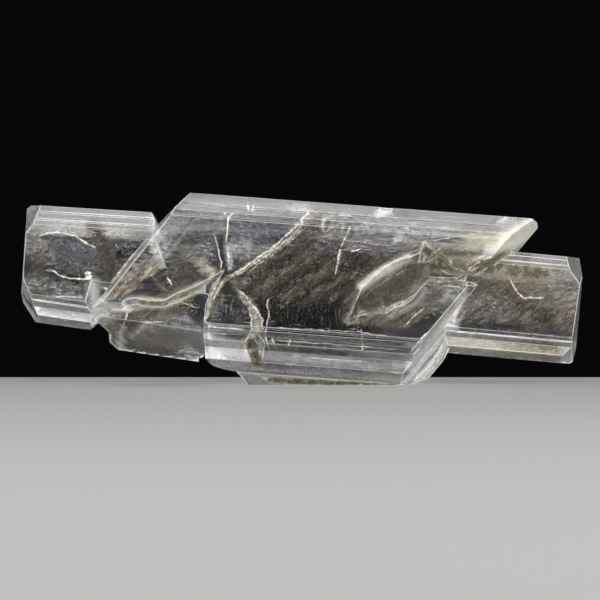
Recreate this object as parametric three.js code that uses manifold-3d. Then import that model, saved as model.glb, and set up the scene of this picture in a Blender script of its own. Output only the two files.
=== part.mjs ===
// A gypsum specimen, standing on its long lower edge. Three flat crystals are grown through each other end to end,
// and a fourth lies along the back of the middle one. Millimetres: X runs along the specimen, Y into its thickness
// with the front face at the lowest Y, and Z up from the flat that it rests on.
import * as THREE from 'three';
import { ConvexGeometry } from 'three/addons/geometries/ConvexGeometry.js';
import { mergeVertices } from 'three/addons/utils/BufferGeometryUtils.js';
import Module from 'manifold-3d';

const wasm = await Module();
wasm.setup();

// Driving dimensions
const HALF_LENGTH = 47.2;
const HALF_DEPTH = 11;
const TOP = 30.5; // the middle crystal's upper edge, measured square to the c axis
const BOTTOM = 1.33; // and its lower edge
const FRONT = -HALF_DEPTH;
const BACK = HALF_DEPTH;
const MIDDLE_BACK = 5.2;

// Gypsum's own angles: how far the c axis dips to the right, the slant of the end faces to that axis, and how fast
// the prism and end faces spread outward for each millimetre of depth behind the flat front face.
const DEGREE = Math.PI / 180;
const C_AXIS = -4.3 * DEGREE;
const END_SLANT = 54.2 * DEGREE;
const PRISM_SPREAD = 1 / Math.tan(56.7 * DEGREE);
const END_SPREAD = 1 / Math.tan(71.2 * DEGREE);

// Directions in which the four edges of a tablet face, as the front view shows it
const UP = C_AXIS + 90 * DEGREE;
const DOWN = C_AXIS - 90 * DEGREE;
const RIGHT_END = C_AXIS + END_SLANT - 90 * DEGREE;
const LEFT_END = RIGHT_END + 181.7 * DEGREE;

const CLEAR = 0.8; // how far a cutting shape passes the surface that it cuts

// A half space: every point whose distance along the normal is at most the offset.
function plane(x, y, z, offset) {
  const normal = new THREE.Vector3(x, y, z);
  const length = normal.length();
  return { normal: normal.divideScalar(length), offset: offset / length };
}

const inFront = (y) => plane(0, -1, 0, -y);
const behind = (y) => plane(0, 1, 0, y);
const above = (z) => plane(0, 0, -1, -z);

// The faces along one edge of a crystal, as the front view shows it. The outline stands at offset from the origin
// along the edge's outward direction. In front of it a bevel starts inset from the outline at the front face, and
// behind it another ends inset from it at the back face.
function edge(angle, offset, spread, [front, frontInset], [back, backInset]) {
  const [x, z] = [Math.cos(angle), Math.sin(angle)];
  return [
    plane(x, 0, z, offset),
    plane(x, -spread, z, offset - frontInset - spread * front),
    plane(x, spread, z, offset - backInset + spread * back),
  ];
}

// A face through a point of the front view, facing along angle, which leans out by lean for each millimetre of depth.
function face(angle, px, pz, lean = 0, depth = 0) {
  const [x, z] = [Math.cos(angle * DEGREE), Math.sin(angle * DEGREE)];
  return plane(x, -lean, z, x * px + z * pz - lean * depth);
}

// The convex body inside every plane
function body(planes) {
  const found = [];
  const normals = new THREE.Matrix3();
  const reach = 1e-6;
  for (let i = 0; i < planes.length; i += 1) {
    for (let j = i + 1; j < planes.length; j += 1) {
      for (let k = j + 1; k < planes.length; k += 1) {
        const [a, b, c] = [planes[i], planes[j], planes[k]];
        normals.set(...a.normal.toArray(), ...b.normal.toArray(), ...c.normal.toArray());
        if (Math.abs(normals.determinant()) < reach) continue;
        const point = new THREE.Vector3(a.offset, b.offset, c.offset).applyMatrix3(normals.invert());
        if (planes.every((p) => p.normal.dot(point) <= p.offset + reach)) found.push(point);
      }
    }
  }
  return solid(new ConvexGeometry(found));
}

// A closed shape through rings that lie one behind the other. Each ring is a list of [x, z] points, counter-clockwise
// from the front, with the depth that they share.
function loft(...rings) {
  const count = rings[0].points.length;
  const corners = rings.flatMap(({ depth, points }) => points.map(([x, z]) => new THREE.Vector3(x, depth, z)));
  const faces = [];
  for (let start = 0; start + count < corners.length; start += count) {
    for (let i = 0; i < count; i += 1) {
      const [a, b] = [start + i, start + ((i + 1) % count)];
      faces.push(a, b + count, b, a, a + count, b + count);
    }
  }
  const cap = (ring) => THREE.ShapeUtils.triangulateShape(ring.points.map(([x, z]) => new THREE.Vector2(x, z)), []);
  const last = corners.length - count;
  for (const [a, b, c] of cap(rings[0])) faces.push(a, b, c);
  for (const [a, b, c] of cap(rings[rings.length - 1])) faces.push(last + a, last + c, last + b);
  const geometry = new THREE.BufferGeometry().setFromPoints(corners);
  geometry.setIndex(faces);
  return solid(geometry);
}

function solid(geometry) {
  geometry.deleteAttribute('normal');
  geometry.deleteAttribute('uv');
  const merged = mergeVertices(geometry, 1e-4);
  return new wasm.Manifold(new wasm.Mesh({
    numProp: 3,
    vertProperties: new Float32Array(merged.attributes.position.array),
    triVerts: new Uint32Array(merged.index.array),
  }));
}

const joined = (solids) => solids.reduce((all, next) => all.add(next));
const without = (whole, cuts) => cuts.reduce((left, cut) => left.subtract(cut), whole);

// Growth layers of the middle crystal. Each stands further forward than the next and is a little smaller, which
// leaves the ledges along the upper and lower bevels.
const LAYERS = [
  { front: FRONT, topInset: 4.0, bottomInset: 7.9 },
  { front: FRONT + 0.5, topInset: 2.9, bottomInset: 7.2 },
  { front: FRONT + 1.9, topInset: 1.6, bottomInset: 5.2 },
  { front: FRONT + 3.8, topInset: 0.5, bottomInset: 2.0 },
];

// A block of the middle crystal: every growth layer, cut to the same limits. Small faces blunt the tip of the beak
// at its upper right.
function block(limits) {
  return joined(LAYERS.map(({ front, topInset, bottomInset }) => body([
    inFront(front),
    behind(MIDDLE_BACK),
    ...edge(UP, TOP, PRISM_SPREAD, [front, topInset], [MIDDLE_BACK, 4.4]),
    ...edge(DOWN, -BOTTOM, PRISM_SPREAD, [front, bottomInset], [MIDDLE_BACK, 5.4]),
    ...edge(RIGHT_END, 13.6, END_SPREAD, [FRONT, 3.1], [MIDDLE_BACK, 2.2]),
    ...edge(LEFT_END, 34.93, END_SPREAD, [FRONT, 0.75], [MIDDLE_BACK, 3.6]),
    face(135.5, -23.4, 26.7),
    face(62, 38.8, 27.5),
    face(18, 39.9, 26.2),
    ...limits,
  ])));
}

// The lower left foot of the middle crystal stands back from its front and ends in broken faces.
const FOOT_FRONT = FRONT + 1.8;

function foot() {
  const leftEnds = [
    [face(170, -33.5, 12.5, 0.3, FOOT_FRONT + 2), face(224, -32.7, 9.7)],
    [face(180, -31.85, 8), face(184, -31.6, 7.6, 0.4, FOOT_FRONT + 1.5), face(228, -30.9, 6.2)],
  ];
  return joined(leftEnds.map((leftEnd) => body([
    inFront(FOOT_FRONT),
    behind(MIDDLE_BACK - 0.7),
    ...edge(-98.4 * DEGREE, -1.28, PRISM_SPREAD, [FOOT_FRONT, 5.3], [MIDDLE_BACK, 3.6]),
    ...leftEnd,
    face(-45, -16.0, 4.9),
    face(0, -12, 10),
    face(82, -30, 17.2, 0.35, FOOT_FRONT),
    face(118, -20, 18.5),
  ])));
}

// The left crystal passes behind the middle one. Below its waist it ends in a bright face that leans back.
function leftCrystal() {
  const front = FRONT + 3.4;
  const back = 8;
  const rightEnds = [
    [face(-16.3, -34.7, 17, 0.59, front), face(-50.2, -35.3, 9.3)],
    [face(26.6, -25.3, 27.8, END_SPREAD, front), face(26.6, -24.3, 27.8), face(-97, -34.5, 17.4, 0.3, front)],
  ];
  const layer = (y, topInset, bottomInset) => joined(rightEnds.map((rightEnd) => body([
    inFront(y),
    behind(back),
    ...edge(86.5 * DEGREE, 27.23, PRISM_SPREAD, [y, topInset], [back, 4.6]),
    ...edge(-98 * DEGREE, -4.2, PRISM_SPREAD, [y, bottomInset], [back, 4.0]),
    face(141, -43.6, 29.2, END_SPREAD, front + 3),
    face(176, -46.6, 20, 0.1),
    face(205, -46.6, 15.5, 0.2),
    face(180, -HALF_LENGTH, 20),
    ...rightEnd,
  ])));
  return joined([layer(front, 3.2, 4.6), layer(front + 1.1, 2.2, 3.6), layer(front + 2.6, 0.9, 1.3)]);
}

// The right crystal passes behind the middle one too, at the height of its beak.
function rightCrystal() {
  const front = FRONT + 3.8;
  const back = 8.6;
  const dip = -5.2 * DEGREE;
  const layer = (y, topInset, bottomInset) => body([
    inFront(y),
    behind(back),
    ...edge(dip + 90 * DEGREE, 25.35, PRISM_SPREAD, [y, topInset], [back, 3.8]),
    ...edge(dip - 90 * DEGREE, -7.55, PRISM_SPREAD, [y, bottomInset], [back, 4.4]),
    face(187, 24.4, 7.5, 0.05, y),
    face(157, 24.0, 9.6),
    face(-45, 42.8, 3.6, END_SPREAD, front + 3),
    face(-8, 46.9, 12, 0.15),
    face(35, 45.2, 20.4, END_SPREAD, front + 3),
    face(0, HALF_LENGTH, 12),
  ]);
  return joined([layer(front, 2.2, 4.4), layer(front + 0.9, 1.5, 3.6), layer(front + 2.2, 0.6, 1.3)]);
}

// The growth behind the middle crystal. Its lower edge is broken off flat, and the specimen stands on that.
function rearCrystal() {
  const front = -4.2;
  const layer = (y, inset) => body([
    inFront(front),
    behind(y),
    above(0),
    ...edge(UP, 29.2, PRISM_SPREAD, [front - 4, 0.1], [y, inset]),
    ...edge(RIGHT_END, 15.7, END_SPREAD, [front - 6, 0.1], [y, inset * 0.5]),
    ...edge(LEFT_END, 33.2, END_SPREAD, [front - 6, 0.1], [y, inset * 0.5]),
    face(-72, 18.2, 0, 0, 0),
    face(-27, 23.6, 3.4),
    face(222, -8.6, 0),
    face(-115, -15.5, 4.0, -0.2, 5),
  ]);
  return joined([layer(BACK, 4.4), layer(BACK - 1.2, 2.4), layer(BACK - 2.8, 1.0)]);
}

// The front layers of the middle crystal are broken out in its right half, between the beak at the top and the
// square corner below, down to a stained floor.
function bite() {
  const lip = [
    [8.3, 11.3], [11.6, 12.1], [14.1, 12.0], [15.4, 12.9], [16.9, 13.2], [18.6, 14.4], [19.6, 15.9], [20.9, 17.2],
    [23.4, 17.0], [27.4, 16.6], [30.5, 14.2], [48, 12], [48, 24], [39.5, 23.4], [36.3, 22.3], [34.0, 21.2],
    [31.7, 21.1], [29.8, 19.7], [28.3, 18.9], [26.5, 19.0], [24.9, 19.5], [23.6, 20.7], [22.6, 21.4], [21.4, 22.6],
    [20.5, 24.0], [19.9, 22.0], [18.4, 21.3], [16.9, 20.9], [15.2, 20.2], [13.6, 19.2], [12.3, 18.0], [10.2, 16.1],
    [9.1, 13.6],
  ];
  const slope = [
    [9.6, 11.9], [11.9, 12.9], [14.3, 12.6], [15.6, 13.5], [17.2, 13.8], [18.9, 15.0], [20.0, 16.4], [21.1, 17.6],
    [23.5, 17.5], [27.6, 17.1], [30.9, 15.2], [48, 12.5], [48, 23.2], [39.8, 22.3], [36.6, 21.4], [34.2, 20.4],
    [31.6, 20.3], [29.6, 18.9], [28.2, 18.2], [26.4, 18.3], [24.6, 18.6], [23.2, 19.5], [22.2, 20.0], [21.2, 20.4],
    [20.4, 20.6], [19.6, 20.3], [18.3, 19.8], [16.8, 19.2], [15.5, 18.4], [14.2, 17.4], [12.6, 16.2], [11.2, 15.0],
    [10.1, 13.5],
  ];
  const floor = slope.map(([x, z]) => [x + (22 - x) * 0.05, z + (17 - z) * 0.08]);
  return loft(
    { depth: FRONT - CLEAR, points: lip },
    { depth: FRONT + 0.1, points: lip },
    { depth: FRONT + 1.9, points: slope },
    { depth: FRONT + 2.9, points: floor },
  );
}

// Towards its open end the bite goes deeper, so that the right crystal shows between the beak and the corner.
function biteEnd() {
  const mouth = [
    [25.0, 17.5], [27.6, 17.1], [30.9, 15.2], [48, 12.5], [48, 23.2], [39.8, 22.3], [36.6, 21.4], [34.2, 20.4],
    [31.6, 20.3], [29.6, 18.9], [28.2, 18.2], [26.4, 18.3],
  ];
  const floor = mouth.map(([x, z]) => [x + 1.6, z + (17.6 - z) * 0.04]);
  return loft({ depth: FRONT + 1.7, points: mouth }, { depth: FRONT + 4.8, points: floor });
}

// The upper part of the front ends at a broken shelf above the foot. The shelf slopes down as it goes in. It is cut
// as far back as given.
function shelf(back) {
  const outline = [
    [-45, -1], [-15.75, -1], [-15.7, 4.4], [-15.9, 9.8], [-15.6, 13.2], [-14.5, 16.5], [-12.4, 19.1], [-13.9, 18.3],
    [-16.4, 16.9], [-18.3, 15.9], [-20.2, 15.3], [-22.3, 14.1], [-25.0, 14.0], [-27.1, 14.5], [-28.7, 14.2],
    [-29.4, 13.6], [-33.9, 13.9], [-45, 14.4],
  ];
  const slopeFrom = 7; // the first corner of the sloping part
  const lowered = outline.map(([x, z], i) => (i > slopeFrom ? [x, z - 1.0] : [x, z]));
  return loft(
    { depth: FRONT - CLEAR, points: outline },
    { depth: FRONT, points: outline },
    { depth: FOOT_FRONT + 0.1, points: lowered },
    { depth: back, points: lowered },
  );
}

// Small pieces that are broken out of the middle crystal: each a mouth in the front view, cut from the front down to
// a depth, with a floor that is shrunk about the middle of the mouth
const HOLLOWS = [
  { // where a crystal has dropped out of the lower bevel
    mouth: [[-6.3, 3.2], [-5.8, 5.0], [-6.0, 7.5], [-7.3, 8.5], [-8.3, 8.5], [-9.0, 7.3], [-9.3, 6.3], [-9.0, 5.7],
      [-8.5, 4.2], [-7.5, 3.5]],
    depth: 5.6,
    shrink: 0.55,
  },
  { // a chip in the top edge
    mouth: [[14.3, 28.3], [15.4, 29.1], [15.7, 31], [13.3, 31], [13.1, 28.9]],
    depth: 6.1,
    shrink: 0.75,
  },
  { // the rounded corner between the foot and the lower right block
    mouth: [[-17.0, -1], [-10.0, -1], [-10.0, 2.1], [-12.5, 2.6], [-14.2, 3.1], [-15.1, 3.8], [-15.7, 4.5], [-17.0, 4.5]],
    depth: HALF_DEPTH * 2,
    shrink: 1,
  },
];

function hollow({ mouth, depth, shrink }) {
  const [cx, cz] = [0, 1].map((axis) => mouth.reduce((sum, point) => sum + point[axis], 0) / mouth.length);
  const floor = mouth.map(([x, z]) => [cx + (x - cx) * shrink, cz + (z - cz) * shrink]);
  return loft(
    { depth: FRONT - CLEAR, points: mouth },
    { depth: FRONT + depth / 2, points: mouth },
    { depth: FRONT + depth, points: floor },
  );
}

function wholeSpecimen() {
  const upperLeft = without(block([face(0, -8, 0)]), [shelf(BACK)]);
  const lowerRight = without(block([face(180, -15.7, 0), face(217.4, -15.5, 4.7)]), [shelf(FOOT_FRONT + 0.2)]);
  const blocks = joined([upperLeft, foot(), lowerRight]);
  const middle = without(blocks, [bite(), biteEnd(), ...HOLLOWS.map(hollow)]);
  return joined([middle, leftCrystal(), rightCrystal(), rearCrystal()]);
}

function meshOf(name, manifold, material) {
  const mesh = manifold.getMesh();
  const geometry = new THREE.BufferGeometry();
  geometry.setAttribute('position', new THREE.BufferAttribute(mesh.vertProperties, 3));
  geometry.setIndex(new THREE.BufferAttribute(mesh.triVerts, 1));
  const result = new THREE.Mesh(geometry, material);
  result.name = name;
  return result;
}

const selenite = new THREE.MeshStandardMaterial({ color: 0xd9d7cf, roughness: 0.2, metalness: 0 });
const specimen = new THREE.Group();
specimen.add(meshOf('gypsum_crystal', wholeSpecimen(), selenite));

export default specimen;
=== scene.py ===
"""A clear gypsum specimen with brown clay and white healed cracks inside, on a pale floor in soft light."""
import math

import bmesh
import bpy
import numpy as np
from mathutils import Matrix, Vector
from mathutils.bvhtree import BVHTree


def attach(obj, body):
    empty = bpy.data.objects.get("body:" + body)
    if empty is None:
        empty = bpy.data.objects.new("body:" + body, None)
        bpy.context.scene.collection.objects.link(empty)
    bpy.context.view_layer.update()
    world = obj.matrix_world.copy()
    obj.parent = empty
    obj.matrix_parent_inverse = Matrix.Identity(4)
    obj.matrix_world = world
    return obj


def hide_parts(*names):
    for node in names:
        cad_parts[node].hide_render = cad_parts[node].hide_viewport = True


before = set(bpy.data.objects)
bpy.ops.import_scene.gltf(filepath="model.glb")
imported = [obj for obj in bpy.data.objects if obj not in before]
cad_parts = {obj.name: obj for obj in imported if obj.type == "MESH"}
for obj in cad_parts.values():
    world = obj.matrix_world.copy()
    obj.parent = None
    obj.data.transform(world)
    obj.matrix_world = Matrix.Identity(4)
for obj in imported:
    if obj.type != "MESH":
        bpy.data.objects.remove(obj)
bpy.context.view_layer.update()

MM = 0.001
C_AXIS = math.radians(-4.3)  # how the crystals' length dips, in the front view
GYPSUM_IOR = 1.52

# The photograph's view: 600 pixels wide, 6 pixels to a millimetre at half a metre from the camera
PIXELS_PER_MM = 6.0
VIEW_DISTANCE = 500.0
VIEW_CENTRE = 300.0
BASE_BELOW_CENTRE = 85.0
CAMERA_DEPTH = -505.0
CAMERA_HEIGHT = BASE_BELOW_CENTRE / PIXELS_PER_MM
PIXELS_PER_SLOPE = PIXELS_PER_MM * VIEW_DISTANCE


def seen(px, py, depth, face):
    """The points, in millimetres, that pixels show at a depth, bent by the front face before it."""
    px, py, depth = np.broadcast_arrays(np.asarray(px, float), py, depth)
    across = (px - VIEW_CENTRE) / PIXELS_PER_SLOPE
    upward = (VIEW_CENTRE - py) / PIXELS_PER_SLOPE
    outside = face - CAMERA_DEPTH
    inside = (depth - face) / GYPSUM_IOR
    x = across * (outside + inside)
    z = CAMERA_HEIGHT + upward * (outside + inside)
    return np.stack([x, depth, z], axis=-1)


def pixel_of(points):
    """The pixels of the photograph that show points of the outside, given in millimetres."""
    away = points[:, 1] - CAMERA_DEPTH
    px = VIEW_CENTRE + PIXELS_PER_SLOPE * points[:, 0] / away
    py = VIEW_CENTRE - PIXELS_PER_SLOPE * (points[:, 2] - CAMERA_HEIGHT) / away
    return px, py


# Camera

def add_camera():
    data = bpy.data.cameras.new("camera")
    data.sensor_width = 36
    data.lens = data.sensor_width * PIXELS_PER_SLOPE / (2 * VIEW_CENTRE)
    data.clip_start = 0.01
    camera = bpy.data.objects.new("camera", data)
    camera.location = (0, CAMERA_DEPTH * MM, CAMERA_HEIGHT * MM)
    camera.rotation_euler = (math.pi / 2, 0, 0)
    bpy.context.scene.collection.objects.link(camera)
    bpy.context.scene.camera = camera


# Material helpers

class Nodes:
    """Builds one material's node tree."""

    def __init__(self, name):
        self.material = bpy.data.materials.new(name)
        self.material.use_nodes = True
        self.tree = self.material.node_tree
        self.tree.nodes.clear()
        self.out = self.add("ShaderNodeOutputMaterial")
        self.place = self.add("ShaderNodeTexCoord").outputs["Object"]

    def add(self, kind, **settings):
        node = self.tree.nodes.new(kind)
        for name, value in settings.items():
            setattr(node, name, value)
        return node

    def put(self, value, socket):
        if isinstance(value, bpy.types.NodeSocket):
            self.tree.links.new(value, socket)
        else:
            socket.default_value = value

    def fill(self, node, **inputs):
        for name, value in inputs.items():
            self.put(value, node.inputs[name.replace("_", " ")])
        return node

    def math(self, operation, a, b):
        node = self.add("ShaderNodeMath", operation=operation)
        self.put(a, node.inputs[0])
        self.put(b, node.inputs[1])
        return node.outputs[0]

    def total(self, *terms):
        """The sum of (value, weight) pairs."""
        result = 0.0
        for value, weight in terms:
            result = self.math("ADD", result, self.math("MULTIPLY", value, weight))
        return result

    def swing(self, value, amount):
        """How far a value from 0 to 1 is from its middle, times an amount."""
        return self.math("MULTIPLY", self.math("SUBTRACT", value, 0.5), amount)

    def mapped(self, angle, scale=(1.0, 1.0, 1.0)):
        """Object coordinates turned in the front view by an angle and then stretched, in millimetres."""
        turn = self.add("ShaderNodeVectorRotate", rotation_type="Y_AXIS")
        self.fill(turn, Vector=self.place, Angle=angle)
        node = self.add("ShaderNodeMapping")
        self.fill(node, Vector=turn.outputs[0], Scale=[stretch / MM for stretch in scale])
        return node.outputs[0]

    def noise(self, vector, scale, detail, roughness, distortion=0.0):
        node = self.add("ShaderNodeTexNoise")
        self.fill(node, Vector=vector, Scale=scale, Detail=detail)
        self.fill(node, Roughness=roughness, Distortion=distortion)
        return node.outputs["Fac"]

    def ramp(self, value, low, high, to_low=0.0, to_high=1.0, smooth=True):
        node = self.add("ShaderNodeMapRange", interpolation_type="SMOOTHSTEP" if smooth else "LINEAR")
        self.fill(node, Value=value, From_Min=low, From_Max=high, To_Min=to_low, To_Max=to_high)
        return node.outputs["Result"]

    def colours(self, value, *stops):
        node = self.add("ShaderNodeValToRGB")
        self.put(value, node.inputs["Fac"])
        ramp = node.color_ramp
        while len(ramp.elements) < len(stops):
            ramp.elements.new(0.5)
        for element, (position, colour) in zip(ramp.elements, stops):
            element.position = position
            element.color = (*colour, 1)
        return node.outputs["Color"]

    def attribute(self, name):
        node = self.add("ShaderNodeAttribute")
        node.attribute_name = name
        return node.outputs["Fac"]

    def principled(self, **inputs):
        return self.fill(self.add("ShaderNodeBsdfPrincipled"), **inputs)

    def bump(self, height, strength, distance):
        node = self.add("ShaderNodeBump")
        self.fill(node, Height=height, Strength=strength, Distance=distance)
        return node.outputs["Normal"]


# Strokes: soft marks, each with its points and its width in pixels, and its strength

def distance_to(px, py, points):
    """How far each pixel is from a broken line."""
    place = np.stack([px, py], axis=-1)
    nearest = np.full(len(px), np.inf)
    corners = np.array(points, float)
    for start, end in zip(corners[:-1], corners[1:]):
        run = end - start
        share = np.clip((place - start) @ run / (run @ run), 0, 1)
        nearest = np.minimum(nearest, np.linalg.norm(place - start - share[:, None] * run, axis=1))
    return nearest


def painted(px, py, strokes):
    """How strongly soft strokes cover each pixel: the strongest counts where they overlap."""
    cover = np.zeros(len(px))
    for points, width, strength in strokes:
        near = np.clip(1 - distance_to(px, py, points) / width, 0, 1)
        cover = np.maximum(cover, strength * near * near * (3 - 2 * near))
    return cover


# The clear crystal: where it is frosted, clear right through, and stained cream (weak) to brown (strong);
# on the beak's tip and the right end bevel the frosting is partly a painted highlight, and along the bottom
# edge the dark brown is mostly a painted shadow

FROST_AND_HIGHLIGHTS = [
    ([(186, 202), (250, 203), (300, 207), (350, 211), (395, 215)], 11, 0.15),
    ([(395, 214), (450, 219), (530, 223)], 9, 0.08),
    # The beak's tip: frosting, made whiter as a painted highlight where its faces turn away from the lamps
    ([(470, 241), (500, 238), (522, 231)], 13, 0.28),
    ([(490, 250), (514, 240)], 12, 0.8),
    ([(506, 242), (522, 234), (536, 226)], 15, 1.5),
    ([(440, 262), (470, 262), (500, 250)], 7, 0.35),
    # The right end bevel: frosting, made whiter as a painted highlight for light it would reflect from
    # behind
    ([(410, 366), (430, 345), (449, 322)], 11, 0.6),
    ([(414, 378), (432, 362), (446, 340)], 7, 0.25),
    ([(449, 324), (461, 298)], 6, 0.6),
    ([(443, 327), (455, 328)], 6, 1.1),
    ([(214, 350), (243, 356)], 20, 0.5),
    ([(209, 334), (212, 358)], 8, 0.6),
    ([(214, 364), (262, 370), (330, 375), (404, 381)], 7, 0.38),
    ([(270, 356), (340, 361), (400, 366)], 9, 0.18),
    ([(56, 316), (88, 319)], 17, 0.1),
    ([(56, 300), (90, 302)], 10, 0.15),
    ([(94, 284), (96, 314)], 9, 0.7),
    ([(138, 338), (204, 347)], 18, 0.14),
    ([(123, 328), (121, 344)], 5, 0.8),
    ([(132, 337), (140, 329), (147, 323)], 5, 0.58),
    ([(56, 212), (100, 215), (150, 218)], 14, 0.1),
    ([(452, 343), (480, 346), (545, 352)], 20, 0.06),
    ([(153, 216), (156, 236)], 6, 0.5),
    ([(440, 266), (520, 272)], 12, 0.12),
    ([(100, 306), (126, 308)], 5, 0.8),
    ([(102, 312), (106, 322)], 6, 0.35),
    ([(362, 286), (380, 273), (396, 265), (408, 258)], 7, 0.85),
    ([(388, 316), (412, 306), (424, 292)], 5, 0.2),
    ([(128, 301), (165, 304), (200, 286)], 8, 0.42),
    ([(378, 214), (388, 212)], 6, 1.0),
]
CLEAR_WINDOWS = [
    ([(275, 318), (350, 322)], 34, 1.0),
    ([(216, 312), (242, 312)], 18, 0.8),
    ([(233, 262), (250, 262)], 14, 0.4),
    ([(56, 285), (90, 287)], 12, 0.8),
    ([(456, 328), (516, 330)], 9, 0.7),
    ([(185, 308), (200, 310)], 12, 0.9),
    ([(355, 255), (375, 258)], 12, 0.6),
    ([(110, 245), (140, 250)], 16, 0.5),
]
STAINS_AND_PAINTED_LIGHT = [
    ([(370, 302), (392, 292), (412, 274)], 18, 0.95),
    ([(351, 320), (358, 304), (364, 297)], 6, 0.7),
    ([(426, 281), (445, 283), (463, 284)], 5, 0.5),
    ([(140, 302), (165, 304), (200, 287)], 7, 0.3),
    ([(420, 268), (440, 266)], 8, 0.6),
    ([(446, 268), (470, 268), (508, 252)], 5, 0.55),
    ([(425, 250), (447, 262)], 8, 0.55),
    ([(362, 286), (380, 273), (396, 265), (408, 258)], 8, 0.2),
    # The beak's tip: cream, partly staining and partly a painted highlight where its faces turn away from
    # the lamps
    ([(470, 242), (505, 238), (534, 228)], 20, 0.15),
    ([(250, 344), (258, 362)], 9, 0.75),
    ([(108, 322), (114, 344)], 8, 0.25),
    # The bottom edge: dark brown, mostly a painted shadow at the crystal's base, with a little brown
    # staining
    ([(270, 380), (330, 383), (398, 387)], 5, 0.7),
    ([(455, 264), (545, 274)], 14, 0.42),
    ([(452, 346), (545, 353)], 22, 0.1),
    ([(98, 306), (128, 308)], 6, 0.12),
]

# Cream to dark brown: the staining's own colours, also used for a painted highlight (cream) and a painted
# shadow (darkest)
STAIN_AND_PAINTED_LIGHT_COLOURS = (
    (0.0, (0.88, 0.88, 0.89)),
    (0.13, (0.90, 0.87, 0.74)),
    (0.4, (0.19, 0.155, 0.11)),
    (0.9, (0.036, 0.028, 0.021)),
)
LAMP_TINT = (0.86, 0.86, 0.85, 1)  # what the skin lets through of a lamp's light
INNER_TINT = (0.80, 0.78, 0.70, 1)
ABSORPTION = 9.0
EDGE_LAYERS = ("edge_a", "edge_b", "edge_c")


def selenite():
    """Clear gypsum: white along its edges from wearing and as a painted highlight, frosted where the frost
    attribute says (in places a painted highlight too), and finely striated.
    """
    n = Nodes("selenite")
    streaks = n.noise(n.mapped(C_AXIS, (0.05, 0.5, 1.0)), 2.4, detail=5, roughness=0.7)
    fine = n.noise(n.mapped(C_AXIS, (0.12, 0.6, 1.0)), 6.5, detail=3, roughness=0.6)
    grain = n.noise(n.mapped(0.4), 1.9, detail=6, roughness=0.75)
    first, second, third = (n.attribute(name) for name in EDGE_LAYERS)
    # A white band along sharp edges: edge wearing, and a painted highlight where the edges catch the light
    edge = n.math("MINIMUM", first, n.math("MINIMUM", second, third))
    ragged = n.math("ADD", edge, n.swing(grain, 1.6))
    worn_and_highlit = n.ramp(ragged, 0.25, 1.0, 1.0, 0.0)
    # The frosting attribute: frosting, and a painted highlight on the beak's tip and the right end bevel
    frost_and_highlight = n.math("MULTIPLY", n.attribute("frost_and_highlight"), n.ramp(streaks, 0.3, 0.7, 0.65, 1.25))
    frost_and_highlight = n.math("MULTIPLY", frost_and_highlight, n.ramp(grain, 0.3, 0.7, 0.8, 1.2))
    clouds = n.noise(n.mapped(0.7), 0.9, detail=7, roughness=0.75, distortion=0.8)
    # The staining attribute: clay staining, a painted highlight on the beak's tip and a painted shadow
    # along the bottom edge
    stain_and_painted_light = n.math("MULTIPLY", n.attribute("stain_and_painted_light"), n.ramp(clouds, 0.35, 0.58, 0.25, 1.3))
    specks = n.ramp(n.noise(n.mapped(0.5), 4.0, detail=2, roughness=0.5), 0.60, 0.72)
    white = n.total((frost_and_highlight, 1.0), (worn_and_highlit, 0.75), (stain_and_painted_light, 0.9), (specks, 0.12))
    transmission = n.ramp(white, 0.0, 1.0, 1.0, 0.12, smooth=False)
    etched = n.math("MULTIPLY", n.attribute("etched"), n.ramp(streaks, 0.3, 0.7, 0.6, 1.3))
    frosted = n.ramp(white, 0.0, 0.7, 0.02, 0.5, smooth=False)
    roughness = n.math("MAXIMUM", frosted, n.math("MULTIPLY", etched, 0.45))
    height = n.total((streaks, 0.6), (fine, 0.25), (grain, 0.3))
    shader = n.principled(
        Base_Color=n.colours(stain_and_painted_light, *STAIN_AND_PAINTED_LIGHT_COLOURS),
        Roughness=roughness,
        IOR=GYPSUM_IOR,
        Transmission_Weight=transmission,
        Normal=n.bump(height, 0.6, 0.04 * MM),
    )
    clear = n.fill(n.add("ShaderNodeBsdfTransparent"), Color=LAMP_TINT)
    lamp_ray = n.add("ShaderNodeLightPath").outputs["Is Shadow Ray"]
    mix = n.add("ShaderNodeMixShader")
    n.put(lamp_ray, mix.inputs[0])
    n.put(shader.outputs[0], mix.inputs[1])
    n.put(clear.outputs[0], mix.inputs[2])
    n.put(mix.outputs[0], n.out.inputs["Surface"])
    absorb = n.fill(n.add("ShaderNodeVolumeAbsorption"), Color=INNER_TINT, Density=ABSORPTION)
    n.put(absorb.outputs[0], n.out.inputs["Volume"])
    return n.material


WELD = 0.0001  # points closer than this are one, in millimetres
FLAT = math.radians(0.3)
SHARP = math.radians(14)
# The white band along sharp edges stands for edge wearing and for a painted highlight
EDGE_WIDTH = 0.16  # how far in from an edge the white band of edge wearing and painted highlight reaches, in millimetres
INNER_WEAR_AND_HIGHLIGHT = 0.5  # share of that width at an edge that is folded inwards
BLUNT_WEAR_AND_HIGHLIGHT = 0.25  # share of it at an edge of no angle
WEAR_AND_HIGHLIGHT_RISE = 0.9  # how much the share grows with each radian of the edge's angle, until it is 1
NO_EDGE = 10.0
REAR_FROM = -3.5  # edges further back than this get little of the white band, in millimetres
REAR_WEAR_AND_HIGHLIGHT = 0.3
LEDGES_TO = -6.8  # the ledges along the bevels lie in front of this, in millimetres
LEDGE_WEAR_AND_HIGHLIGHT = 0.4
LENGTHWISE = Vector((math.cos(C_AXIS), 0, math.sin(C_AXIS)))
NEARLY_ALONG = 0.995  # cosine of the largest angle between a ledge and the crystals' length
PATCH = 1.3  # longest side of a face, in millimetres
MOST_ROUNDS = 8  # of halving long sides
FRONT_FROM = -0.2  # how much a surface faces the front where the front's strokes begin to count
FRONT_FADE = 0.3
BACK_FROM = 0.3


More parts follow.
